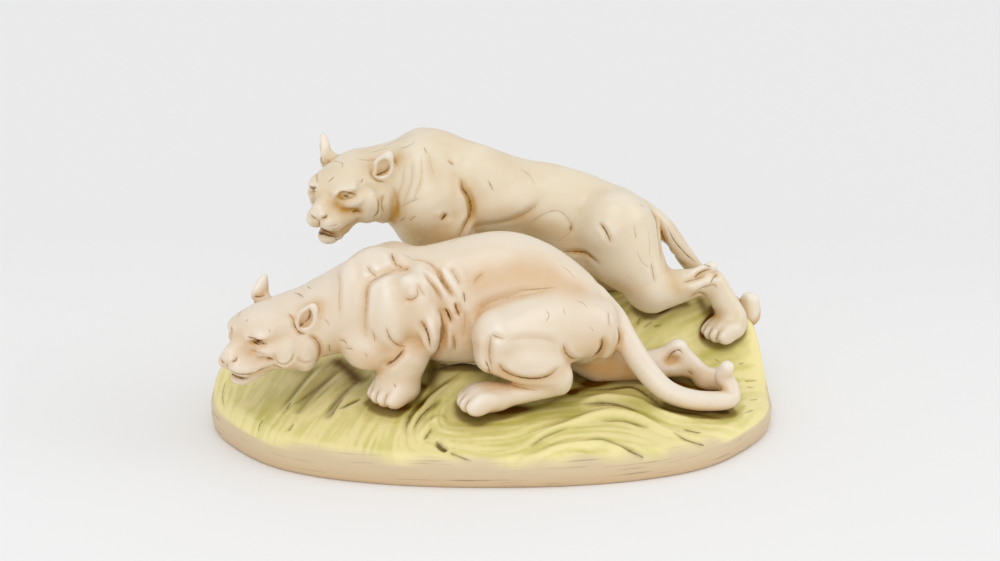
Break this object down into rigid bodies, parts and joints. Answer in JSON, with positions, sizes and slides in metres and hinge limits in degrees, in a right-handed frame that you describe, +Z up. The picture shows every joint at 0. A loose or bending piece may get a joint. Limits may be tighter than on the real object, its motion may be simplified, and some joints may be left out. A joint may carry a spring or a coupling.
{
  "type": "ceramic animal figure group",
  "caption": "Glazed ceramic group of a crouching and a stalking big cat on an oval grassy mound, modelled and fired as one piece.",
  "frame": {"origin": "centre of the flat underside of the mound", "axes": "+Z up, +X from the heads to the tails along the mound's length, -Y the side shown to the viewer"},
  "size_m": [0.5178, 0.297, 0.2563],
  "materials": {
    "glazed_ceramic": "satin glaze, ivory animals on a green-stained mound with a plain pinkish rim"
  },
  "bodies": {
    "root": {"tiger_group": "glazed_ceramic"}
  },
  "joints": []
}
